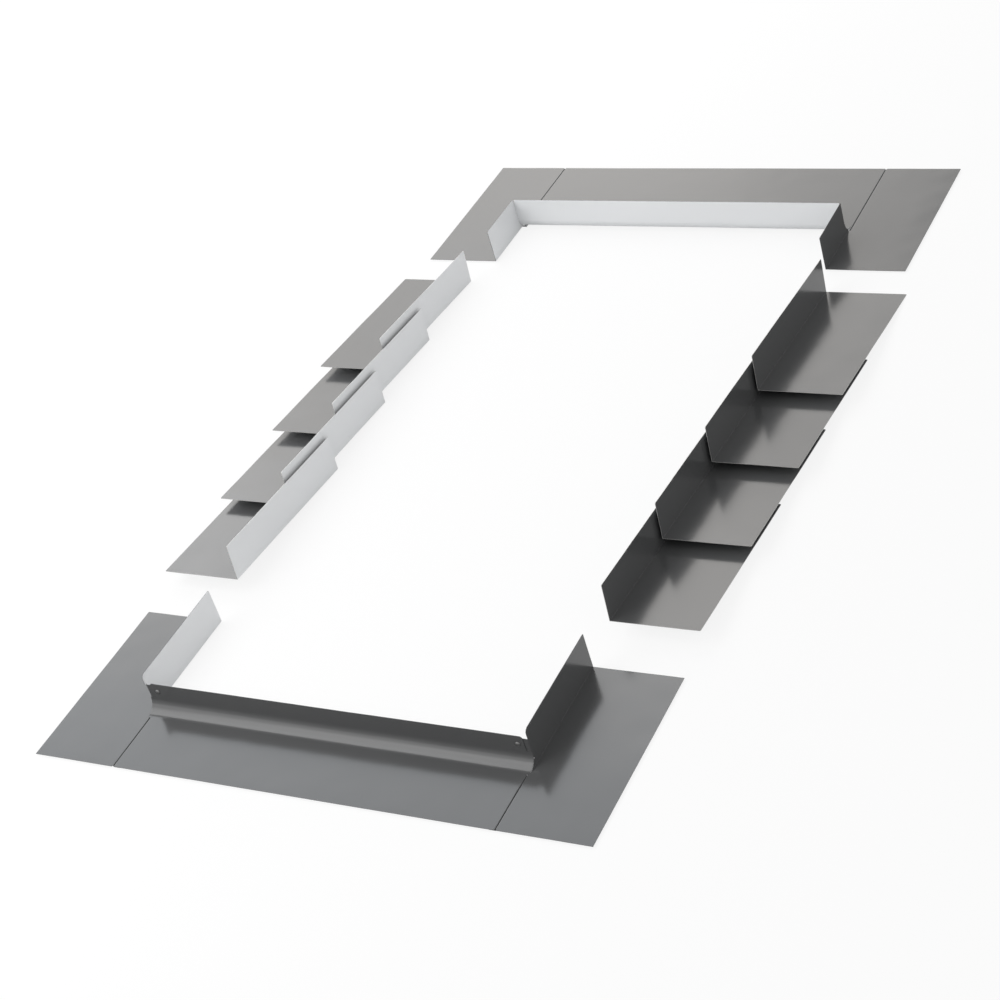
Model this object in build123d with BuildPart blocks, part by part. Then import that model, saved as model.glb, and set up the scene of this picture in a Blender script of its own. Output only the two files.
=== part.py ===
from build123d import *
from math import cos, radians, sin
import os

# A set of step flashing for a roof window, laid out in its order on the roof.
# +X is to the right, +Y is up the slope and +Z stands square to the roof.
# The origin is in the middle of the set, on the surface that it lies on.

# Driving sizes in millimetres
sheet = 0.6                 # thickness of the coated aluminium sheet
opening_width = 546.0       # between the side upstands, the width of the window frame
flange_width = 120.0        # roof flanges at the sides, outwards from the window frame
upstand_height = 53.5       # side and back upstands
front_height = 42.0         # front upstand, lower than the others
apron_depth = 106.0         # apron, in front of the front upstand
sill_leg = 165.0            # side upstands of the sill, up the slope from its front upstand
pan_depth = 182.0           # pan, behind the back upstand
head_leg = 93.0             # side upstands of the head, down the slope from its back upstand
cove_radius = 17.0          # large bend from apron or pan to upstand, on the weather side
cove_flat = 1.0             # full width of a middle sheet, this far in front of the large bend
fold_radius = 1.5           # bend from a side flange to its upstand, on the weather side

# Step flashings
courses = 4                 # step flashings on each side
step_length = 269.0         # one step flashing, along the slope
exposure = 157.0            # from one step flashing to the next, along the slope
step_tilt = 5.0             # slope of a step flashing on its course of shingles, in degrees
step_clearance = 1.8        # first step flashing, outside the line of the sill's upstand
step_stagger = 5.7          # each step flashing further out than the one below it
sill_gap = 59.0             # clear way from the sill to the first step flashing
head_gap = 54.0             # clear way from the last step flashing to the head

# Lock seams
lap_gap = 0.1               # between sheets that lie on each other
seam_width = 8.0            # width of the hooks
seam_bend = 0.45            # bends of the hooks, through the middle of the sheet
seam_setback = 1.5          # hooks end this far inside the free edge
sill_seam_inset = 3.0       # seam of the sill, inside the line of the side upstand
head_seam_outset = 3.0      # seam of the head, outside the line of the side upstand

# Corners of the upstands
tab_length = 32.0           # tab from the side upstand, along the front or back upstand
tab_bend = 1.2              # inner bend where the side upstand turns into its tab
tab_drop = 3.5              # top of a tab, below the top of the upstand that it holds
tab_slit = 0.6              # saw cut above and below a tab
sill_tab_foot = 9.5         # foot of the sill's tab, above the flange
sill_relief = 7.0           # front upstand stops this far short of the corner
head_relief = 1.6           # back upstand stops this far short of the corner
end_clearance = 0.2         # end of a middle sheet to the side upstand that closes it
sill_fold_stop = 3.0        # fold of the sill's side flange stops this far inside the bend
head_fold_stop = 8.5        # fold of the head's side flange stops this far inside the bend
tip_radius = 1.5            # free corners of the upstands
corner_round = 6.0          # front corners of the sill's side upstands
front_round = 4.0           # ends of the front upstand

# Rivets through the front upstand and the tabs
rivet_inset = 15.5          # inside the line of the side upstand
rivet_drop = 12.5           # below the top of the front upstand
rivet_shank = 3.2
rivet_head = 6.6
rivet_dome = 1.3
rivet_rim = 0.4
rivet_bore = 1.8
rivet_tail = 4.8
rivet_tail_length = 2.2
rivet_fit = 0.05            # around the shank

# Values that follow from them
pitch = sheet + lap_gap
lie = 3 * pitch                                  # underside of the flanges, on their seams
flange_middle = lie + sheet / 2
half_opening = opening_width / 2
side_middle = half_opening + sheet / 2
outer_edge = half_opening + flange_width
tilt = radians(step_tilt)
step_run = step_length * cos(tilt)
steps_run = (courses - 1) * exposure + step_run
window_run = sill_leg + sill_gap + steps_run + head_gap + head_leg
set_length = apron_depth + window_run + pan_depth
sill_edge = -set_length / 2
sill_face = sill_edge + apron_depth
sill_leg_end = sill_face + sill_leg
head_face = sill_face + window_run
head_leg_end = head_face - head_leg
head_edge = set_length / 2
first_step = sill_leg_end + sill_gap
sill_seam = half_opening - sill_seam_inset
head_seam = half_opening + head_seam_outset
cove_top = lie + sheet + cove_radius
sill_cove = sill_face - cove_radius              # where the large bends meet the flat sheet
head_cove = head_face + sheet + cove_radius
sill_fold_end = sill_cove + sill_fold_stop
head_fold_end = head_cove - head_fold_stop
sill_seam_end = sill_cove - cove_flat - lap_gap
head_seam_end = head_fold_end + 2 * lap_gap
rivet_x = half_opening - rivet_inset
rivet_z = lie + front_height - rivet_drop
rivet_grip = 2 * sheet + lap_gap

os.makedirs("parts", exist_ok=True)


def bent_sheet(*points, radius):
    """Section of a bent sheet, drawn through the middle of its thickness."""
    with BuildLine() as middle_line:
        FilletPolyline(*points, radius=radius)
    trace(middle_line.line, line_width=sheet)


def block(corner, opposite):
    """Rectangle between two opposite corners."""
    middle = ((corner[0] + opposite[0]) / 2, (corner[1] + opposite[1]) / 2)
    with Locations(middle):
        Rectangle(abs(corner[0] - opposite[0]), abs(corner[1] - opposite[1]))


def crosswise(end, other_end):
    """Plane across the slope, and the length to extrude from it between two places on Y."""
    return Plane.XZ.offset(-max(end, other_end)), abs(end - other_end)


def middle_sheet(edge, face, outward, height, seam, seam_end, relief, relief_foot, tip):
    """Middle sheet of the sill or the head, symmetric about the middle of the window.

    The free edge lies on the outward side of the window, which is -1 for the sill and 1 for
    the head. The upstand's lower face on Y is `face`, and `seam` is the line of its lock seams.
    """
    upstand = face + sheet / 2
    cove = upstand + outward * (cove_radius + sheet / 2)
    cove_start = cove + outward * cove_flat
    wall = seam - lap_gap / 2 - sheet / 2
    hook = flange_middle - 2 * pitch
    top = lie + height
    with BuildPart() as middle:
        with BuildSketch(Plane.YZ):
            bent_sheet(
                (cove_start, flange_middle),
                (upstand, flange_middle),
                (upstand, top),
                radius=cove_radius + sheet / 2,
            )
        extrude(amount=half_opening - end_clearance, both=True)
        with BuildSketch(Plane.YZ.offset(half_opening - relief)):
            block((face - cove_radius, relief_foot), (face + sheet + cove_radius, top + sheet))
        ends = extrude(amount=relief, mode=Mode.SUBTRACT)
        mirror(ends, about=Plane.YZ, mode=Mode.SUBTRACT)
        corners = edges().filter_by(Axis.Y).group_by(Axis.Z)[-1]
        fillet(corners, radius=tip)
        with BuildSketch(Plane.XY.offset(lie)):
            block((-wall + 2 * seam_bend, edge), (wall - 2 * seam_bend, cove_start))
        extrude(amount=sheet)
        plane, length = crosswise(edge - outward * seam_setback, seam_end)
        with BuildSketch(plane):
            bent_sheet(
                (wall - 3 * seam_bend, flange_middle),
                (wall, flange_middle),
                (wall, hook),
                (wall - seam_width, hook),
                radius=seam_bend,
            )
            mirror(about=Plane.YZ)
        extrude(amount=length)
    return middle.part


def corner_sheet(edge, face, leg_end, outward, seam, seam_end, fold_end, tab, top_edge, tips):
    """Right-hand corner sheet of the sill (outward -1) or of the head (outward 1).

    The fold from flange to upstand runs from `leg_end` to `fold_end`. Past the window's corner
    the upstand is cut to the curve of the large bend, whose end it closes. `tab` holds the
    foot and the top of the tab, and `tips` the radii of the upstand's corners, up the slope.
    """
    weather = face + (1 + outward) / 2 * sheet
    cove = weather + outward * cove_radius
    beyond = cove + outward * cove_radius
    over = lie + upstand_height + sheet
    tab_foot, tab_top = tab
    turn = tab_bend + sheet / 2
    tab_middle = face + sheet + lap_gap + sheet / 2
    tab_start = tab_middle - outward * turn
    wall = seam + lap_gap / 2 + sheet / 2
    eye = seam - lap_gap - sheet - seam_width - lap_gap / 2
    hook_end = seam - lap_gap / 2 - sheet - lap_gap
    plate_start = wall + 2 * seam_bend
    with BuildPart() as corner:
        plane, length = crosswise(fold_end, leg_end)
        with BuildSketch(plane):
            bent_sheet(
                (outer_edge, flange_middle),
                (side_middle, flange_middle),
                (side_middle, lie + upstand_height),
                radius=fold_radius + sheet / 2,
            )
        extrude(amount=length)
        with BuildSketch(Plane.YZ.offset(half_opening - sheet)):
            with Locations((cove, cove_top)):
                Circle(cove_radius)
            block((cove, lie + sheet), (beyond, over))
            block((weather, cove_top), (beyond, over))
            block((tab_start, tab_foot - tab_slit), (beyond, tab_top + tab_slit))
            block((top_edge, tab_top + tab_slit), (beyond, over))
        extrude(amount=3 * sheet + fold_radius, mode=Mode.SUBTRACT)
        corners = edges().filter_by(Axis.X).group_by(Axis.Z)[-1].sort_by(Axis.Y)
        fillet(corners[0], radius=tips[0])
        corners = edges().filter_by(Axis.X).group_by(Axis.Z)[-1].sort_by(Axis.Y)
        fillet(corners[-1], radius=tips[1])
        with BuildSketch(Plane.XY.offset(lie)):
            block((plate_start, edge), (outer_edge, seam_end))
            block((max(plate_start, half_opening + lap_gap), edge), (outer_edge, fold_end))
        extrude(amount=sheet)
        plane, length = crosswise(edge - outward * seam_setback, seam_end)
        with BuildSketch(plane):
            bent_sheet(
                (wall + 3 * seam_bend, flange_middle),
                (wall, flange_middle),
                (wall, flange_middle - 3 * pitch),
                (eye, flange_middle - 3 * pitch),
                (eye, flange_middle - pitch),
                (hook_end, flange_middle - pitch),
                radius=seam_bend,
            )
        extrude(amount=length)
        with BuildSketch(Plane.XY.offset(tab_foot)):
            bent_sheet(
                (side_middle, tab_start - outward * turn),
                (side_middle, tab_middle),
                (half_opening - tab_length, tab_middle),
                radius=turn,
            )
        extrude(amount=tab_top - tab_foot)
        corners = edges().filter_by(Axis.Y).group_by(Axis.X)[0]
        fillet(corners, radius=tip_radius)
    return corner.part


def step_flashing(number):
    """Right-hand step flashing, counted from the lowest.

    Its upper end lies on the roof, and its lower end is raised by the shingles under it.
    """
    fold = half_opening + step_clearance + (number - 1) * step_stagger
    upper_end = first_step + step_run + (number - 1) * exposure
    section = Plane(origin=(0, upper_end, 0), x_dir=(1, 0, 0), z_dir=(0, -cos(tilt), sin(tilt)))
    with BuildPart() as step:
        with BuildSketch(section):
            bent_sheet(
                (fold + flange_width, sheet / 2),
                (fold + sheet / 2, sheet / 2),
                (fold + sheet / 2, upstand_height),
                radius=fold_radius + sheet / 2,
            )
        extrude(amount=step_length)
        corners = edges().filter_by(lambda edge: abs(edge.length - sheet) < sheet / 10)
        fillet(corners, radius=tip_radius)
    return step.part


# Sill flashing
sill_middle = middle_sheet(
    sill_edge, sill_face, -1, front_height, sill_seam, sill_seam_end,
    sill_relief, lie + sill_tab_foot + tab_slit, front_round,
)
sill_corner = corner_sheet(
    sill_edge, sill_face, sill_leg_end, -1, sill_seam, sill_seam_end, sill_fold_end,
    (lie + sill_tab_foot, lie + front_height - tab_drop), sill_face, (corner_round, tip_radius),
)

with BuildPart() as sill_apron:
    add(sill_middle)
    with BuildSketch(Plane.XZ.offset(-sill_face)):
        with Locations((-rivet_x, rivet_z), (rivet_x, rivet_z)):
            Circle(rivet_shank / 2 + rivet_fit)
    extrude(amount=-rivet_grip, mode=Mode.SUBTRACT)
sill_apron.part.label = "sill_apron"
export_step(sill_apron.part, "parts/sill_apron.step")

with BuildPart() as sill_corner_right:
    add(sill_corner)
    with BuildSketch(Plane.XZ.offset(-sill_face)):
        with Locations((rivet_x, rivet_z)):
            Circle(rivet_shank / 2 + rivet_fit)
    extrude(amount=-rivet_grip, mode=Mode.SUBTRACT)
sill_corner_right.part.label = "sill_corner_right"
export_step(sill_corner_right.part, "parts/sill_corner_right.step")

with BuildPart() as sill_corner_left:
    mirror(sill_corner_right.part, about=Plane.YZ)
sill_corner_left.part.label = "sill_corner_left"
export_step(sill_corner_left.part, "parts/sill_corner_left.step")

# Blind rivets, with their heads on the weather side
with BuildPart() as sill_rivets:
    for x in (-rivet_x, rivet_x):
        centre = (x, sill_face, rivet_z)
        with BuildSketch(Plane(origin=centre, x_dir=(0, 0, 1), z_dir=(-1, 0, 0))):
            with BuildLine():
                TangentArc(
                    (rivet_bore / 2, -rivet_dome),
                    (rivet_head / 2, -rivet_rim),
                    tangent=(1, 0),
                )
                Polyline(
                    (rivet_head / 2, -rivet_rim),
                    (rivet_head / 2, 0),
                    (rivet_shank / 2, 0),
                    (rivet_shank / 2, rivet_grip),
                    (rivet_tail / 2, rivet_grip),
                    (rivet_tail / 2, rivet_grip + rivet_tail_length / 2),
                )
                TangentArc(
                    (rivet_tail / 2, rivet_grip + rivet_tail_length / 2),
                    (rivet_bore / 2, rivet_grip + rivet_tail_length),
                    tangent=(0, 1),
                )
                Polyline(
                    (rivet_bore / 2, rivet_grip + rivet_tail_length),
                    (0, rivet_grip + rivet_tail_length),
                    (0, rivet_rim - rivet_dome),
                    (rivet_bore / 2, rivet_rim - rivet_dome),
                    (rivet_bore / 2, -rivet_dome),
                )
            make_face()
        revolve(axis=Axis(centre, (0, 1, 0)))
sill_rivets.part.label = "sill_rivets"
export_step(sill_rivets.part, "parts/sill_rivets.step")

# Step flashings, counted from the lowest
for number in range(1, courses + 1):
    right = step_flashing(number)
    with BuildPart() as left:
        mirror(right, about=Plane.YZ)
    for side, step in (("right", right), ("left", left.part)):
        step.label = f"step_{side}_{number}"
        export_step(step, f"parts/{step.label}.step")

# Head flashing
head_pan = middle_sheet(
    head_edge, head_face, 1, upstand_height, head_seam, head_seam_end,
    head_relief, cove_top, tip_radius,
)
head_corner = corner_sheet(
    head_edge, head_face, head_leg_end, 1, head_seam, head_seam_end, head_fold_end,
    (cove_top + tab_slit, lie + upstand_height - tab_drop), head_face + sheet, (tip_radius, tip_radius),
)
head_pan.label = "head_pan"
export_step(head_pan, "parts/head_pan.step")

with BuildPart() as head_corner_left:
    mirror(head_corner, about=Plane.YZ)
for side, corner in (("right", head_corner), ("left", head_corner_left.part)):
    corner.label = f"head_corner_{side}"
    export_step(corner, f"parts/{corner.label}.step")
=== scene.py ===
from math import acos, atan2, cos, pi, radians, sin, sqrt, tan

import bmesh
import bpy
from mathutils import Matrix, Vector, noise


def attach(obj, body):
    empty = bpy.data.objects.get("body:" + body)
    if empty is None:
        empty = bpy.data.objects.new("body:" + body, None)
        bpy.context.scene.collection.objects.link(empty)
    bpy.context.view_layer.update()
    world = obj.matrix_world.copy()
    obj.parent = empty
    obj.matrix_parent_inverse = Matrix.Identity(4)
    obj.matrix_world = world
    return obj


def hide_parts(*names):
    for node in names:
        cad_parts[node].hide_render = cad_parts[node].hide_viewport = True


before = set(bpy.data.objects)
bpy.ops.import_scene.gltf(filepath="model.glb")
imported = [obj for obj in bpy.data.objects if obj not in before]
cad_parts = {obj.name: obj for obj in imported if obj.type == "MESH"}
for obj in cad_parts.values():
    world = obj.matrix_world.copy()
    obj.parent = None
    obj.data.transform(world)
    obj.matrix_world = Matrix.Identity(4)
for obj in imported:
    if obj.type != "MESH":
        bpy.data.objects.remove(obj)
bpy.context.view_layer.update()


# The sill's middle sheet. One blank of thin aluminium, enamelled dark grey on the weather side
# and lacquered pale on the back: the apron, a large bend, the low front upstand, and hooks
# turned under at both ends for the lock seams.


class Value:
    """A node's output, and what a formula on outputs gives."""

    def __init__(self, tree, socket):
        self.tree = tree
        self.socket = socket

    def math(self, operation, first, second):
        return node(self.tree, "ShaderNodeMath", {"operation": operation}, first, second)

    def __add__(self, other):
        return self.math("ADD", self, other)

    def __sub__(self, other):
        return self.math("SUBTRACT", self, other)

    def __rsub__(self, other):
        return self.math("SUBTRACT", other, self)

    def __mul__(self, other):
        return self.math("MULTIPLY", self, other)

    def __rtruediv__(self, other):
        return self.math("DIVIDE", other, self)

    __radd__ = __add__
    __rmul__ = __mul__


def node(tree, kind, settings, *inputs, output=0, **named):
    """Adds a node of that kind. Its inputs come in order, or by name with _ for a space."""
    made = tree.nodes.new(kind)
    for setting, value in settings.items():
        setattr(made, setting, value)
    pairs = list(zip([socket for socket in made.inputs if socket.enabled], inputs))
    pairs += [(made.inputs[name.replace("_", " ")], value) for name, value in named.items()]
    for socket, value in pairs:
        links = value if isinstance(value, list) else [value]
        for link in links:
            if isinstance(link, Value):
                tree.links.new(link.socket, socket)
            elif link is not None:
                socket.default_value = link
    return Value(tree, made.outputs[output])


def finish(name, colour, other_colour, cloud_size, roughness, roughness_range, grain, **fixed):
    """A finish that drifts between two colours over the sheet, with a fine grain.

    `cloud_size` and the first value of `grain` are in metres, and the others of `grain` are
    the strength and the depth of its bump. What is `fixed` goes to the shader's own sockets.
    """
    material = bpy.data.materials.new(name)
    material.use_nodes = True
    tree = material.node_tree
    shader = tree.nodes["Principled BSDF"]
    for socket, value in fixed.items():
        shader.inputs[socket.replace("_", " ")].default_value = value
    place = node(tree, "ShaderNodeTexCoord", {}, output=3)
    cloud = node(
        tree, "ShaderNodeTexNoise", {}, Vector=place, Scale=1 / cloud_size, Detail=3.0
    )
    mixed = node(
        tree, "ShaderNodeMix", {"data_type": "RGBA"}, cloud, (*colour, 1), (*other_colour, 1),
        output=2,
    )
    tree.links.new(mixed.socket, shader.inputs["Base Color"])
    rough = roughness + roughness_range * (cloud - 0.5)
    tree.links.new(rough.socket, shader.inputs["Roughness"])
    fine = node(tree, "ShaderNodeTexNoise", {}, Vector=place, Scale=1 / grain[0], Detail=2.0)
    bump = node(tree, "ShaderNodeBump", {}, Strength=grain[1], Distance=grain[2], Height=fine)
    tree.links.new(bump.socket, shader.inputs["Normal"])
    return material


MM = 0.001
enamel = finish(
    "enamel", (0.062, 0.063, 0.064), (0.067, 0.068, 0.069), cloud_size=0.16,
    roughness=0.18, roughness_range=0.05, grain=(9 * MM, 0.15, 0.05 * MM), IOR=1.5,
)
lacquer = finish(
    "lacquer", (0.66, 0.67, 0.68), (0.63, 0.64, 0.65), cloud_size=0.20,
    roughness=0.42, roughness_range=0.10, grain=(9 * MM, 0.10, 0.05 * MM),
)
cut_metal = finish(
    "cut_metal", (0.52, 0.52, 0.51), (0.42, 0.42, 0.41), cloud_size=0.02,
    roughness=0.45, roughness_range=0.15, grain=(0.5 * MM, 0.3, 0.03 * MM), Metallic=0.3,
)

# Sizes in millimetres
SHEET = 0.6                   # thickness of the sheet
LAP = 0.1                     # between sheets that lie on each other
PITCH = SHEET + LAP
SEAM_GAP = 0.5                # open line of a lock seam
LIE = 3 * PITCH               # underside of the flanges, on their seams
MIDDLE = LIE + SHEET / 2      # middle of the flanges' thickness
HALF_OPENING = 273.0          # from the middle of the window to a side upstand
COVE = 17.0                   # large bend, on the weather side
COVE_TOP = LIE + SHEET + COVE
COVE_FLAT = 1.0               # full width of a middle sheet, this far before the large bend
COVE_STEPS = 24               # parts of the large bend
END_CLEARANCE = 0.2           # end of a middle sheet to the side upstand that closes it
CORNER_LAP = 0.8              # reach of a middle sheet past that end, in front of the tab
NECK_RISE = 1.2               # its upstand narrows this far above the large bend
HOOK_BEND = 0.65              # bends of the hooks, through the middle of the sheet
HOOK_WIDTH = 8.0
SETBACK = 1.5                 # hooks end this far inside the free edge
HOLD = 0.3                    # extra line beside each bend, which keeps the flats evenly lit
ROUNDING = 1e-6               # slack where a place falls on the start of a span


class Section:
    """A bent strip, drawn through the middle of the sheet and measured along it."""

    def __init__(self, points, radius, steps=5):
        self.spans = []
        self.lines = []
        self.holds = []
        points = [Vector(point) for point in points]
        start, length = points[0], 0.0
        for before, corner, after in zip(points, points[1:], points[2:]):
            arriving, leaving = (corner - before).normalized(), (after - corner).normalized()
            across = arriving.x * leaving.y - arriving.y * leaving.x
            turn = atan2(across, arriving.dot(leaving))
            back = radius * tan(abs(turn) / 2)
            bend = corner - arriving * back
            self.spans.append((length, start, arriving, 0.0))
            length += (bend - start).length
            self.spans.append((length, bend, arriving, turn / abs(turn) / radius))
            run = radius * abs(turn)
            self.lines += [length + run * step / steps for step in range(steps + 1)]
            self.holds += [length - HOLD, length + run + HOLD]
            length += run
            start = corner + leaving * back
        self.spans.append((length, start, leaving, 0.0))
        self.length = length + (points[-1] - start).length

    def at(self, distance):
        """The place at that distance along the strip, and the direction there."""
        begun = [span for span in self.spans if span[0] <= distance + ROUNDING]
        begin, start, direction, curve = begun[-1]
        run = distance - begin
        if curve == 0:
            return start + direction * run, direction
        side = Vector((-direction.y, direction.x))
        angle = run * curve
        place = start + (direction * sin(angle) + side * (1 - cos(angle))) / curve
        return place, direction * cos(angle) + side * sin(angle)


def rounded(centre, radius, start, end, steps=5):
    """Points along an arc between two angles in degrees."""
    angles = [radians(start + (end - start) * step / steps) for step in range(steps + 1)]
    return [(centre[0] + radius * cos(a), centre[1] + radius * sin(a)) for a in angles]


def ruled(low, high, spacing):
    """Evenly spaced lines between two limits."""
    count = max(1, round((high - low) / spacing))
    return [low + (high - low) * step / count for step in range(1, count)]


def ease(distance, reach):
    """0 at no distance, rising smoothly to 1 at that reach."""
    share = min(1.0, max(0.0, distance / reach))
    return share * share * (3 - 2 * share)


# The wander of thin sheet: the length and the height of its broad and close waves
BROAD_WAVE, BROAD_RISE, BROAD_HEIGHT = 95, 60, 0.24
CLOSE_WAVE, CLOSE_HEIGHT = 27, 0.11
APART = 7                     # takes the close waves from another part of the pattern


def drift(x, y, z):
    """How far thin sheet wanders off its true plane there, in millimetres."""
    broad = noise.noise(Vector((x / BROAD_WAVE, y / BROAD_WAVE, z / BROAD_RISE)))
    close = noise.noise(Vector((x / CLOSE_WAVE, y / CLOSE_WAVE, APART + z / CLOSE_WAVE)))
    return BROAD_HEIGHT * broad + CLOSE_HEIGHT * close


ON_LINE = 1e-4                # points this near a line lie on it
MERGE = 0.01                  # points nearer to each other than this are one


def folded(name, outlines, u_lines, v_lines, place, mirrored=False, bare=False):
    """Cuts a blank, folds it and gives it thickness.

    Each outline is one zone of the blank, cut along the lines at those places on u and v.
    place(zone, u, v) gives where a point of it comes to lie, and which way and how much it may
    wander there. The cut edges are bare metal or enamelled.
    """
    mesh = bmesh.new()
    for zone, outline in outlines.items():
        mesh.faces.new([mesh.verts.new((u, v, zone)) for u, v in outline])
    for axis, lines in enumerate((u_lines, v_lines)):
        for line in lines:
            across = Vector((1, 0, 0) if axis == 0 else (0, 1, 0))
            everything = mesh.verts[:] + mesh.edges[:] + mesh.faces[:]
            bmesh.ops.bisect_plane(
                mesh, geom=everything, plane_co=across * line, plane_no=across, dist=ON_LINE
            )
    for vertex in mesh.verts:
        u, v, zone = vertex.co
        point, wander = place(round(zone), u, v)
        point = point + wander * drift(*point)
        if mirrored:
            point.x = -point.x
        vertex.co = point * MM
    bmesh.ops.remove_doubles(mesh, verts=mesh.verts, dist=MERGE * MM)
    bmesh.ops.recalc_face_normals(mesh, faces=mesh.faces)
    if sum(face.normal.z * face.calc_area() for face in mesh.faces) < 0:
        bmesh.ops.reverse_faces(mesh, faces=mesh.faces)
    data = bpy.data.meshes.new(name)
    mesh.to_mesh(data)
    mesh.free()
    for material in (enamel, lacquer, cut_metal):
        data.materials.append(material)
    piece = bpy.data.objects.new(name, data)
    bpy.context.scene.collection.objects.link(piece)
    sheet = piece.modifiers.new("sheet", "SOLIDIFY")
    sheet.thickness = SHEET * MM
    sheet.offset = 0
    sheet.use_even_offset = True
    sheet.material_offset = 1
    sheet.material_offset_rim = 2 if bare else 0
    return plain(piece)


CRISP = 35                    # edges between faces stay sharp from this angle, in degrees


def plain(piece):
    """Turns a piece and its modifiers into a plain mesh with crisp cut edges."""
    evaluated = piece.evaluated_get(bpy.context.evaluated_depsgraph_get())
    data = bpy.data.meshes.new_from_object(evaluated)
    piece.modifiers.clear()
    piece.data = data
    data.name = piece.name
    data.shade_smooth()
    data.set_sharp_from_angle(angle=radians(CRISP))
    return piece


def declare(piece, finish_slot, *nodes):
    """Sets the piece on the object in place of those solids."""
    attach(piece, "root")
    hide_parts(*nodes)


SPACING = 6                   # between the lines that divide the flats
CALM = 40                     # flats wander in full this far from a bend or a seam


def middle_sheet(name, edge, face, outward, height, seam, seam_end, relief, foot, tip):
    """Middle sheet of the sill (outward -1) or the head (outward 1).

    The free edge and the lower face of the upstand lie at `edge` and `face` on Y. The lock
    seams lie at `seam` on X and end at `seam_end` on Y. From the `foot` of the tab the sheet
    laps the corner, and just above the large bend it stops `relief` short of it. `tip` is the
    radius of the upper corners.
    """
    upstand = face + SHEET / 2
    cove = upstand + outward * (COVE + SHEET / 2)
    wall = seam - SEAM_GAP / 2 - SHEET / 2
    depth = abs(edge - upstand)
    radius = COVE + SHEET / 2
    bend = [(0, MIDDLE), (depth, MIDDLE), (depth, LIE + height)]
    section = Section(bend, radius, COVE_STEPS)
    hook = Section(
        [
            (0, MIDDLE),
            (wall, MIDDLE),
            (wall, MIDDLE - 2 * PITCH),
            (seam - LAP / 2 - SHEET / 2 - HOOK_WIDTH, MIDDLE - 2 * PITCH),
        ],
        HOOK_BEND,
    )
    strip = wall - 2 * HOOK_BEND
    end = HALF_OPENING - END_CLEARANCE
    neck = HALF_OPENING - relief
    v_cove = abs(edge - cove) - COVE_FLAT
    v_seam = abs(edge - seam_end)
    v_top = section.length
    v_foot = v_top - (LIE + height - COVE_TOP) + NECK_RISE
    turned = acos((MIDDLE + radius - min(foot, COVE_TOP)) / radius)
    v_lap = abs(edge - cove) + radius * turned
    right = [(strip, 0), (strip, SETBACK)]
    if v_seam < v_cove:
        right.append((strip, v_seam))
    right += [(strip, v_cove), (end, v_cove), (end, v_lap), (end + CORNER_LAP, v_lap)]
    right += [(end + CORNER_LAP, v_foot), (neck, v_foot)]
    right += rounded((neck - tip, v_top - tip), tip, 0, 90)
    ear = [(strip, SETBACK), (hook.length, SETBACK), (hook.length, v_seam), (strip, v_seam)]
    if v_seam > v_cove:
        ear.append((strip, v_cove))
    outlines = {
        0: right + [(-u, v) for u, v in reversed(right)],
        1: ear,
        2: [(-u, v) for u, v in ear],
    }
    hook_lines = [line for line in hook.lines if line > strip]
    u_lines = hook_lines + [-line for line in hook_lines] + ruled(-strip, strip, SPACING)
    v_lines = ruled(0, section.lines[0], SPACING) + section.lines + section.holds
    v_lines += ruled(section.lines[-1], v_top, SPACING)

    def place(zone, u, v):
        if zone == 0:
            point, direction = section.at(v)
            weight = ease(strip - abs(u), CALM)
            wander = Vector((0, outward * direction.y, direction.x)) * weight
            return Vector((u, edge - outward * point.x, point.y)), wander
        point, direction = hook.at(abs(u))
        side = 1 if u > 0 else -1
        return Vector((side * point.x, edge - outward * v, point.y)), Vector()

    piece = folded(f"{name}_sheet", outlines, u_lines, v_lines, place)
    declare(piece, "coated_sheet", name)


SILL_EDGE = -698.988
SILL_FACE = -592.988
SILL_SEAM = 270.0
SILL_SEAM_END = -611.088
SILL_RELIEF = 7.0
SILL_TAB_FOOT = LIE + 9.5
FRONT_HEIGHT = 42.0
FRONT_ROUND = 4.0
middle_sheet(
    "sill_apron", SILL_EDGE, SILL_FACE, -1, FRONT_HEIGHT, SILL_SEAM, SILL_SEAM_END,
    SILL_RELIEF, SILL_TAB_FOOT, FRONT_ROUND,
)


# The sill's corner sheets. Each is folded from one blank: a side flange on the roof, a side
# upstand cut to the curve of the large bend, a tab turned in behind the front upstand, and
# the outer hooks of the lock seam that hold the middle sheet.

FLANGE_WIDTH = 120.0
UPSTAND_HEIGHT = 53.5
OUTER_EDGE = HALF_OPENING + FLANGE_WIDTH
SIDE = HALF_OPENING + SHEET / 2   # middle of a side upstand's thickness
FOLD = 0.15 + SHEET / 2           # sharp fold, through the middle of the sheet
TAB_TURN = 1.2 + SHEET / 2        # bend of a tab, through the middle of the sheet
TAB_LENGTH = 32.0
TAB_DROP = 3.5                    # top of a tab, below the top of the upstand that it holds
SLIT = 0.6                        # saw cut above a tab
FOOT_SLIT = 0.1                   # saw cut below a tab
TIP = 1.5                         # free corners
RISE_STEPS = 20                   # points on the cut that follows the large bend
WANDER_RUN = 60                   # side upstands and steps wander in full after this length
WANDER_START = 30                 # which starts this far before the tab of a side upstand


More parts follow.
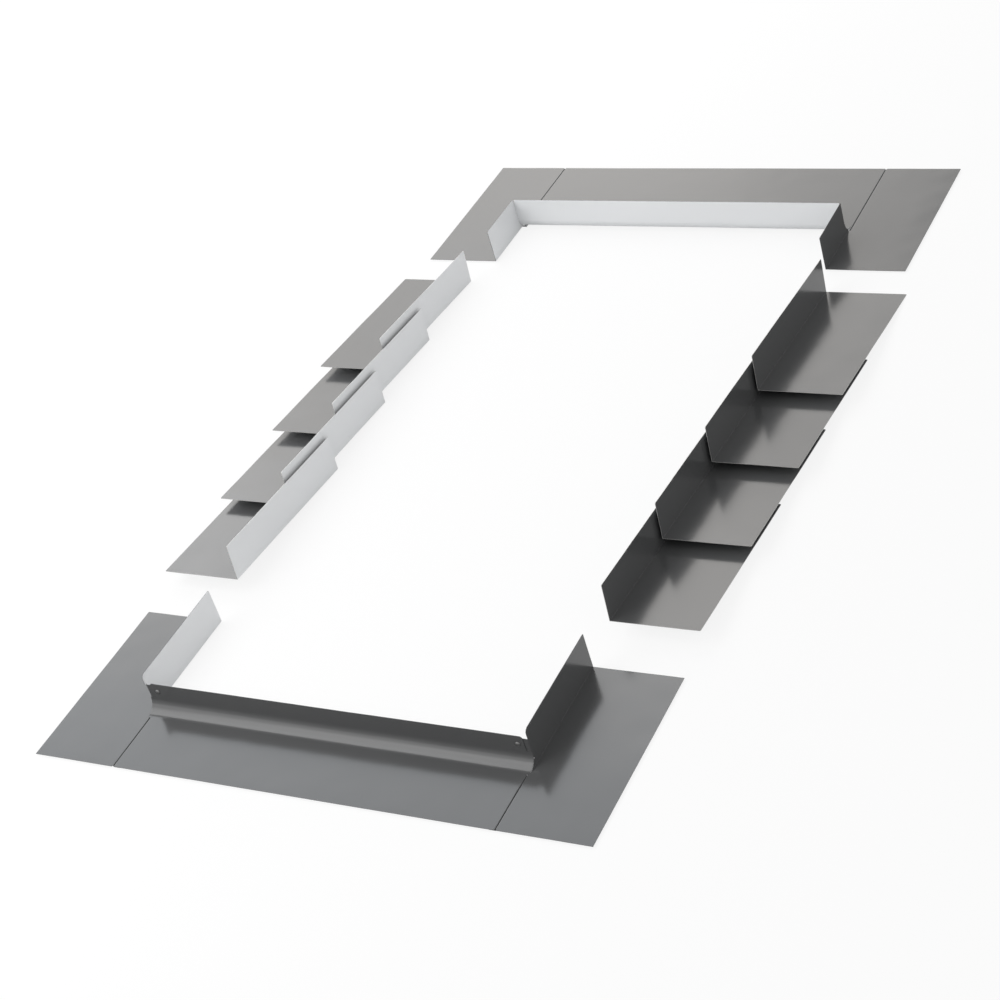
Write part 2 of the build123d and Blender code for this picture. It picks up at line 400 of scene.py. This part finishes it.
def corner_sheets(name, edge, face, leg_end, outward, seam, seam_end, fold_end, tab, tips):
    """The two corner sheets of the sill (outward -1) or the head (outward 1).

    The side upstand ends at `leg_end` on Y, and its fold at `fold_end`. `tab` holds the
    heights of the tab's foot and top, and `tips` the radii of the side upstand's corners. The
    other places are the middle sheet's.
    """
    weather = face + (1 + outward) / 2 * SHEET
    cove = weather + outward * COVE
    tab_middle = face + SHEET + LAP + SHEET / 2
    tab_start = tab_middle - outward * TAB_TURN
    wall = seam + SEAM_GAP / 2 + SHEET / 2
    eye = seam - LAP - SHEET - HOOK_WIDTH - LAP / 2
    plate = wall + 2 * HOOK_BEND
    side = Section(
        [
            (0, MIDDLE),
            (OUTER_EDGE - SIDE, MIDDLE),
            (OUTER_EDGE - SIDE, LIE + UPSTAND_HEIGHT),
        ],
        FOLD,
    )
    hook = Section(
        [
            (0, MIDDLE),
            (OUTER_EDGE - wall, MIDDLE),
            (OUTER_EDGE - wall, MIDDLE - 3 * PITCH),
            (OUTER_EDGE - eye, MIDDLE - 3 * PITCH),
            (OUTER_EDGE - eye, MIDDLE - PITCH),
            (OUTER_EDGE - seam + SEAM_GAP / 2 + SHEET + LAP, MIDDLE - PITCH),
        ],
        HOOK_BEND,
    )
    tab_end = SIDE - HALF_OPENING + TAB_LENGTH
    turned = Section([(0, 0), (TAB_TURN, 0), (TAB_TURN, tab_end)], TAB_TURN)

    def up(z):
        """How far along the section the upstand reaches that height."""
        if z < MIDDLE + FOLD:
            return side.lines[0] + FOLD * acos(1 - (z - MIDDLE) / FOLD)
        return side.length - (LIE + UPSTAND_HEIGHT - z)

    v_cove, v_fold = abs(cove - edge), abs(fold_end - edge)
    v_seam, v_leg = abs(seam_end - edge), abs(leg_end - edge)
    v_tab, v_front = abs(tab_start - edge), abs(weather - edge)
    u_plate = OUTER_EDGE - plate
    u_inner = min(u_plate, OUTER_EDGE - HALF_OPENING - LAP)
    u_foot, u_head, top = up(tab[0]), up(tab[1]), side.length
    flat = [(0, 0), (u_plate, 0), (u_plate, SETBACK), (u_plate, v_seam)]
    if u_inner < u_plate:
        flat.append((u_inner, v_seam))
    flat += [(u_inner, v_fold), (0, v_fold)]
    rise_start = COVE_TOP - sqrt(COVE**2 - (v_fold - v_cove) ** 2)
    rise_end = min(COVE_TOP, tab[0] - FOOT_SLIT)
    shares = [(step / RISE_STEPS) ** 2 for step in range(RISE_STEPS + 1)]
    rise = [rise_start + (rise_end - rise_start) * share for share in shares]
    raised = [(0, v_fold)]
    if u_inner < side.lines[0]:
        raised.append((u_inner, v_fold))
    raised += [(up(z), v_cove + sqrt(COVE**2 - (COVE_TOP - z) ** 2)) for z in rise]
    raised += [(u_foot - FOOT_SLIT, v_tab), (u_foot, v_tab), (u_head, v_tab)]
    raised += [(u_head + SLIT, v_tab), (u_head + SLIT, v_front)]
    raised += rounded((top - tips[0], v_front + tips[0]), tips[0], -90, 0)
    raised += rounded((top - tips[1], v_leg - tips[1]), tips[1], 0, 90)
    raised += [(0, v_leg)]
    v_tip = v_tab - turned.length
    tongue = [(u_foot, v_tab), (u_head, v_tab)]
    tongue += rounded((u_head - TIP, v_tip + TIP), TIP, 0, -90)
    tongue += rounded((u_foot + TIP, v_tip + TIP), TIP, -90, -180)
    ear = [(u_plate, SETBACK), (hook.length, SETBACK)]
    ear += [(hook.length, v_seam), (u_plate, v_seam)]

    def place(zone, u, v):
        y = edge - outward * v
        if zone == 0:
            weight = ease(u_inner - u, CALM)
            return Vector((OUTER_EDGE - u, y, MIDDLE)), Vector((0, 0, weight))
        if zone == 1:
            point, direction = side.at(u)
            weight = ease(abs(u - side.lines[2]), CALM)
            weight *= ease(v - v_tab + WANDER_START, WANDER_RUN)
            weight = weight if u > side.lines[2] else ease(u_inner - u, CALM)
            wander = Vector((direction.y, 0, direction.x)) * weight
            return Vector((OUTER_EDGE - point.x, y, point.y)), wander
        if zone == 2:
            point, direction = turned.at(v_tab - v)
            height = side.at(u)[0].y
            return Vector((SIDE - point.y, tab_start + outward * point.x, height)), Vector()
        point, direction = hook.at(u)
        return Vector((OUTER_EDGE - point.x, y, point.y)), Vector()

    outlines = {0: flat, 1: raised, 2: tongue, 3: ear}
    u_lines = ruled(0, side.lines[0], SPACING) + side.lines + side.holds
    u_lines += ruled(side.lines[-1], top, SPACING)
    u_lines += [line for line in hook.lines if line > u_plate]
    v_lines = ruled(0, v_fold, SPACING) + ruled(v_fold, v_leg, SPACING)
    v_lines += [v_tab - line for line in turned.lines]
    for hand, sign in (("right", 1), ("left", -1)):
        piece = folded(f"{name}_{hand}_sheet", outlines, u_lines, v_lines, place, sign < 0)
        declare(piece, "coated_sheet", f"{name}_{hand}")


SILL_LEG_END = -427.988
SILL_FOLD_END = -606.988
SILL_CORNER_TIP = 6.0
corner_sheets(
    "sill_corner", SILL_EDGE, SILL_FACE, SILL_LEG_END, -1, SILL_SEAM, SILL_SEAM_END,
    SILL_FOLD_END, (SILL_TAB_FOOT, LIE + FRONT_HEIGHT - TAB_DROP), (SILL_CORNER_TIP, TIP),
)


# The rivets. Two blind rivets of satin aluminium, set from the weather side, hold the front
# upstand to the tabs behind it. Each has a domed head with its mandrel's bore in the middle.


class Tree:
    """A Geometry Nodes tree with named inputs, that ends in real meshes and materials."""

    def __init__(self, name):
        self.tree = bpy.data.node_groups.new(name, "GeometryNodeTree")
        self.tree.is_modifier = True
        self.tree.interface.new_socket(
            "Geometry", in_out="OUTPUT", socket_type="NodeSocketGeometry"
        )
        self.values = {}

    def ask(self, name, kind, value=None):
        """Adds a named input, with the value that this object's modifier gives it."""
        socket = self.tree.interface.new_socket(
            name, in_out="INPUT", socket_type="NodeSocket" + kind
        )
        if value is not None:
            self.values[socket.identifier] = value

    def inputs(self):
        group = self.tree.nodes.new("NodeGroupInput")
        return [Value(self.tree, socket) for socket in group.outputs[:-1]]

    def add(self, kind, settings, *inputs, **named):
        return node(self.tree, kind, settings, *inputs, **named)

    def close(self, geometry, materials):
        """Makes the instances real and sets each material on the faces with its index."""
        geometry = self.add("GeometryNodeRealizeInstances", {}, geometry)
        side = self.add("GeometryNodeInputMaterialIndex", {})
        for index, material in enumerate(materials):
            here = self.add(
                "FunctionNodeCompare", {"data_type": "INT", "operation": "EQUAL"}, side, index
            )
            geometry = self.add("GeometryNodeSetMaterial", {}, geometry, here, material)
        end = self.tree.nodes.new("NodeGroupOutput")
        self.tree.links.new(geometry.socket, end.inputs[0])

    def grow(self, piece):
        """Runs the tree on the piece and keeps the result as its plain mesh."""
        modifier = piece.modifiers.new(self.tree.name, "NODES")
        modifier.node_group = self.tree
        for identifier, value in self.values.items():
            modifier[identifier] = value
        return plain(piece)


satin = finish(
    "satin_aluminium", (0.22, 0.22, 0.22), (0.18, 0.18, 0.18), cloud_size=0.01,
    roughness=0.42, roughness_range=0.12, grain=(0.4 * MM, 0.2, 0.02 * MM), Metallic=0.85,
)
RIVET_X = 257.5
RIVET_Z = 31.6
RIVET_STEPS = 28
RIVET_MERGE = 0.005
GRIP = 2 * SHEET + LAP
BORE, SHANK, TAIL, HEAD = 0.9, 1.6, 2.4, 3.3
# Radius and depth of the outline, from the floor of the bore over the dome to the tail
PROFILE = [
    (0, -0.9), (BORE, -0.9), (BORE, -1.3), (1.4, -1.26), (1.9, -1.14), (2.4, -0.95),
    (2.9, -0.69), (HEAD, -0.4), (HEAD, 0), (SHANK, 0), (SHANK, GRIP), (TAIL, GRIP),
    (TAIL, GRIP + 1.1), (2.2, GRIP + 1.7), (1.7, GRIP + 2.1), (0.9, GRIP + 2.2),
    (0, GRIP + 2.2),
]
mesh = bmesh.new()
line = [mesh.verts.new((r * MM, depth * MM, 0)) for r, depth in PROFILE]
edges = [mesh.edges.new(pair) for pair in zip(line, line[1:])]
bmesh.ops.spin(
    mesh, geom=line + edges, axis=(0, 1, 0), cent=(0, 0, 0), angle=2 * pi,
    steps=RIVET_STEPS, use_merge=True,
)
bmesh.ops.remove_doubles(mesh, verts=mesh.verts, dist=RIVET_MERGE * MM)
bmesh.ops.recalc_face_normals(mesh, faces=mesh.faces)
data = bpy.data.meshes.new("blind_rivets")
mesh.to_mesh(data)
mesh.free()
data.materials.append(satin)
blind_rivets = bpy.data.objects.new("blind_rivets", data)
bpy.context.scene.collection.objects.link(blind_rivets)

rivet_pair = Tree("rivet_pair")
rivet_pair.ask("Rivet", "Geometry")
rivet_pair.ask("Spread", "Float", 2 * RIVET_X * MM)
rivet_pair.ask("Seat", "Vector", (-RIVET_X * MM, SILL_FACE * MM, RIVET_Z * MM))
rivet_pair.ask("Metal", "Material", satin)
rivet, spread, seat, metal = rivet_pair.inputs()
apart = rivet_pair.add("ShaderNodeCombineXYZ", {}, X=spread)
seats = rivet_pair.add("GeometryNodeMeshLine", {}, Count=2, Start_Location=seat, Offset=apart)
set_rivets = rivet_pair.add("GeometryNodeInstanceOnPoints", {}, Points=seats, Instance=rivet)
rivet_pair.close(set_rivets, [metal])
declare(rivet_pair.grow(blind_rivets), "rivet", "sill_rivets")


# The step flashings. Four equal L-shaped sheets on each side, one for each course of
# shingles. Each lies on the roof at its upper end, and the shingles raise its lower end.

STEP_LENGTH = 269.0
step_section = Section(
    [
        (0, SHEET / 2),
        (FLANGE_WIDTH - SHEET / 2, SHEET / 2),
        (FLANGE_WIDTH - SHEET / 2, UPSTAND_HEIGHT),
    ],
    FOLD,
)
step_top = step_section.length
step_blank = rounded((TIP, TIP), TIP, 180, 270) + rounded((step_top - TIP, TIP), TIP, 270, 360)
step_blank += rounded((step_top - TIP, STEP_LENGTH - TIP), TIP, 0, 90)
step_blank += rounded((TIP, STEP_LENGTH - TIP), TIP, 90, 180)


def place_step(zone, u, v):
    """Folds the step with its upper end at the origin and its length down the slope."""
    point, direction = step_section.at(u)
    weight = ease(v, WANDER_RUN) * ease(abs(u - step_section.lines[2]), CALM)
    wander = Vector((direction.y, 0, direction.x)) * weight
    return Vector((FLANGE_WIDTH - point.x, -v, point.y)), wander


step_lines = ruled(0, step_section.lines[0], SPACING) + step_section.lines
step_lines += step_section.holds + ruled(step_section.lines[-1], step_top, SPACING)
step_flashings = folded(
    "step_flashings", {0: step_blank}, step_lines, ruled(0, STEP_LENGTH, SPACING), place_step,
    bare=True,
)

# Each step wanders in its own way, in full from this height above the roof
FREE_HEIGHT = 10 * MM
courses = Tree("courses_of_steps")
courses.ask("Step", "Geometry")
courses.ask("Courses", "Int", 4)
courses.ask("Exposure", "Float", 157.0 * MM)
courses.ask("Stagger", "Float", 5.7 * MM)
courses.ask("Tilt", "Float", radians(5.0))
courses.ask("First Fold", "Float", 274.8 * MM)
courses.ask("First Upper End", "Float", -101.012 * MM)
courses.ask("Wander", "Float", 0.9 * MM)
courses.ask("Wander Length", "Float", 80.0 * MM)
courses.ask("Enamel", "Material", enamel)
courses.ask("Lacquer", "Material", lacquer)
courses.ask("Cut Metal", "Material", cut_metal)
asked = courses.inputs()
step, count, exposure, stagger, tilt, fold, upper_end, wander, wander_length, *finishes = asked
first = courses.add("ShaderNodeCombineXYZ", {}, X=fold, Y=upper_end)
onward = courses.add("ShaderNodeCombineXYZ", {}, X=stagger, Y=exposure)
places = courses.add(
    "GeometryNodeMeshLine", {}, Count=count, Start_Location=first, Offset=onward
)
leaning = courses.add("ShaderNodeCombineXYZ", {}, X=0 - tilt)
right_side = courses.add(
    "GeometryNodeInstanceOnPoints", {}, Points=places, Instance=step, Rotation=leaning
)
right_side = courses.add("GeometryNodeRealizeInstances", {}, right_side)
position = courses.add("GeometryNodeInputPosition", {})
height = courses.add("ShaderNodeSeparateXYZ", {}, position, output=2)
clear = height.math("MINIMUM", height * (1 / FREE_HEIGHT), 1.0)
waves = 1 / wander_length
cloud = courses.add("ShaderNodeTexNoise", {}, Vector=position, Scale=waves, Detail=1.0)
lift = courses.add("ShaderNodeCombineXYZ", {}, Z=wander * clear * (cloud - 0.5))
right_side = courses.add("GeometryNodeSetPosition", {}, right_side, Offset=lift)
left_side = courses.add("GeometryNodeTransform", {}, Geometry=right_side, Scale=(-1, 1, 1))
left_side = courses.add("GeometryNodeFlipFaces", {}, left_side)
both_sides = courses.add("GeometryNodeJoinGeometry", {}, [right_side, left_side])
courses.close(both_sides, finishes)
declare(
    courses.grow(step_flashings), "coated_sheet",
    *[f"step_{hand}_{number}" for hand in ("left", "right") for number in (1, 2, 3, 4)],
)


# The head's middle sheet, the pan. It is folded as the sill's is, with a higher upstand, and
# its free edge runs under the roofing behind the window.

HEAD_EDGE = 698.988
HEAD_FACE = 516.988
HEAD_SEAM = 276.0
HEAD_SEAM_END = 526.288
HEAD_RELIEF = 1.6
HEAD_TAB_FOOT = COVE_TOP + FOOT_SLIT
middle_sheet(
    "head_pan", HEAD_EDGE, HEAD_FACE, 1, UPSTAND_HEIGHT, HEAD_SEAM, HEAD_SEAM_END,
    HEAD_RELIEF, HEAD_TAB_FOOT, TIP,
)


# The head's corner sheets. They are cut and folded as the sill's are, with tabs that close on
# the weather side of the back upstand.

HEAD_LEG_END = 423.988
HEAD_FOLD_END = 526.088
corner_sheets(
    "head_corner", HEAD_EDGE, HEAD_FACE, HEAD_LEG_END, 1, HEAD_SEAM, HEAD_SEAM_END,
    HEAD_FOLD_END, (HEAD_TAB_FOOT, LIE + UPSTAND_HEIGHT - TAB_DROP), (TIP, TIP),
)


# The studio. A plain pale floor and a white surround. Soft lamps in a ceiling give the flat
# sheets what they mirror, and soft lamps in front and at the side light the upstands.

scene = bpy.context.scene
scene.view_settings.view_transform = "Standard"


def seen(tree):
    """1 for what the camera, a mirror or glass shows, 0 for light on the object."""
    rays = tree.nodes.new("ShaderNodeLightPath")
    camera, glossy, through = [
        Value(tree, rays.outputs[f"Is {kind} Ray"])
        for kind in ("Camera", "Glossy", "Transmission")
    ]
    total = camera + glossy + through
    return total.math("MINIMUM", total, 1.0)


AMBIENT = 0.70                # strength of the surround as a light
world = bpy.data.worlds.new("surround")
scene.world = world
world.use_nodes = True
tree = world.node_tree
background = tree.nodes["Background"]
background.inputs["Color"].default_value = (1, 1, 1, 1)
strength = AMBIENT + (1 - AMBIENT) * seen(tree)
tree.links.new(strength.socket, background.inputs["Strength"])

FLOOR_SHARE = 0.84            # of what is seen of the floor, the rest is its lit colour
FLOOR_GREY = 0.68
floor_finish = bpy.data.materials.new("floor")
floor_finish.use_nodes = True
tree = floor_finish.node_tree
shader = tree.nodes["Principled BSDF"]
shader.inputs["Base Color"].default_value = (FLOOR_GREY, FLOOR_GREY, FLOOR_GREY, 1)
shader.inputs["Roughness"].default_value = 0.9
shader.inputs["Specular IOR Level"].default_value = 0.0
glow = node(tree, "ShaderNodeEmission", {}, Color=(1, 1, 1, 1), Strength=1.0)
mixed = node(
    tree, "ShaderNodeMixShader", {}, FLOOR_SHARE * seen(tree),
    Value(tree, shader.outputs[0]), glow,
)
tree.links.new(mixed.socket, tree.nodes["Material Output"].inputs["Surface"])

FLOOR = 40.0                  # metres from the middle to a side
data = bpy.data.meshes.new("floor")
corners = [(-FLOOR, -FLOOR, 0), (FLOOR, -FLOOR, 0), (FLOOR, FLOOR, 0), (-FLOOR, FLOOR, 0)]
data.from_pydata(corners, [], [(0, 1, 2, 3)])
data.materials.append(floor_finish)
floor = bpy.data.objects.new("floor", data)
scene.collection.objects.link(floor)


def lamp(name, place, target, size, radiance, colour=(1, 1, 1)):
    """A soft rectangular lamp that shines on a target with that radiance."""
    light = bpy.data.lights.new(name, "AREA")
    light.shape = "RECTANGLE"
    light.size, light.size_y = size
    light.energy = radiance * pi * size[0] * size[1]
    light.color = colour
    shining = bpy.data.objects.new(name, light)
    shining.location = place
    direction = Vector(target) - Vector(place)
    shining.rotation_euler = direction.to_track_quat("-Z", "Y").to_euler()
    scene.collection.objects.link(shining)


CEILING = 1.5                 # height of its lamps, in metres


def ceiling(name, left, right, front, back, radiance, colour=(1, 1, 1)):
    """A lamp that shines straight down from the ceiling between those limits."""
    x, y = (left + right) / 2, (front + back) / 2
    lamp(name, (x, y, CEILING), (x, y, 0), (right - left, back - front), radiance, colour)


COOL = (0.94, 1.0, 1.06)
WARM = (1.04, 1.0, 0.95)
ceiling("sill_lamp", -2.9, -0.3, 0.35, 0.85, 1.75, COOL)
ceiling("near_left_lamp", -2.9, -0.95, 0.85, 1.5, 2.45)
ceiling("near_right_lamp", -0.95, -0.3, 0.85, 1.5, 2.85)
ceiling("low_left_lamp", -3.0, -2.15, 1.5, 2.3, 3.2)
ceiling("low_middle_lamp", -2.15, -1.1, 1.5, 2.6, 2.3)
ceiling("low_right_lamp", -1.1, -0.3, 1.5, 2.4, 2.35, WARM)
ceiling("mid_left_lamp", -3.0, -2.15, 2.3, 2.7, 2.05, WARM)
ceiling("high_left_lamp", -3.8, -2.15, 2.7, 4.6, 1.35, WARM)
ceiling("high_middle_lamp", -2.15, -1.1, 2.6, 4.6, 2.15, WARM)
ceiling("high_right_lamp", -1.1, -0.5, 2.4, 4.6, 1.35, WARM)
ceiling("front_lamp", -1.9, -0.4, -2.5, -0.2, 3.0)
lamp("cove_lamp", (-1.96, -3.2, 1.4), (-1.96, 0, 1.4), (1.9, 1.9), 1.5)
lamp("side_lamp", (2.6, -1.0, 1.6), (0, 0, 0), (2.4, 2.4), 1.0)

ROLL = -18.15                 # of the camera about its line of sight, in degrees
camera = bpy.data.cameras.new("camera")
camera.lens = 80.76
camera.sensor_width = 36.0
viewer = bpy.data.objects.new("camera", camera)
place, target = Vector((1.46330, -2.11108, 1.71998)), Vector((0.00485, -0.13792, 0.0))
viewer.location = place
level = (target - place).to_track_quat("-Z", "Y").to_matrix().to_4x4()
viewer.rotation_euler = (level @ Matrix.Rotation(radians(ROLL), 4, "Z")).to_euler()
scene.collection.objects.link(viewer)
scene.camera = viewer
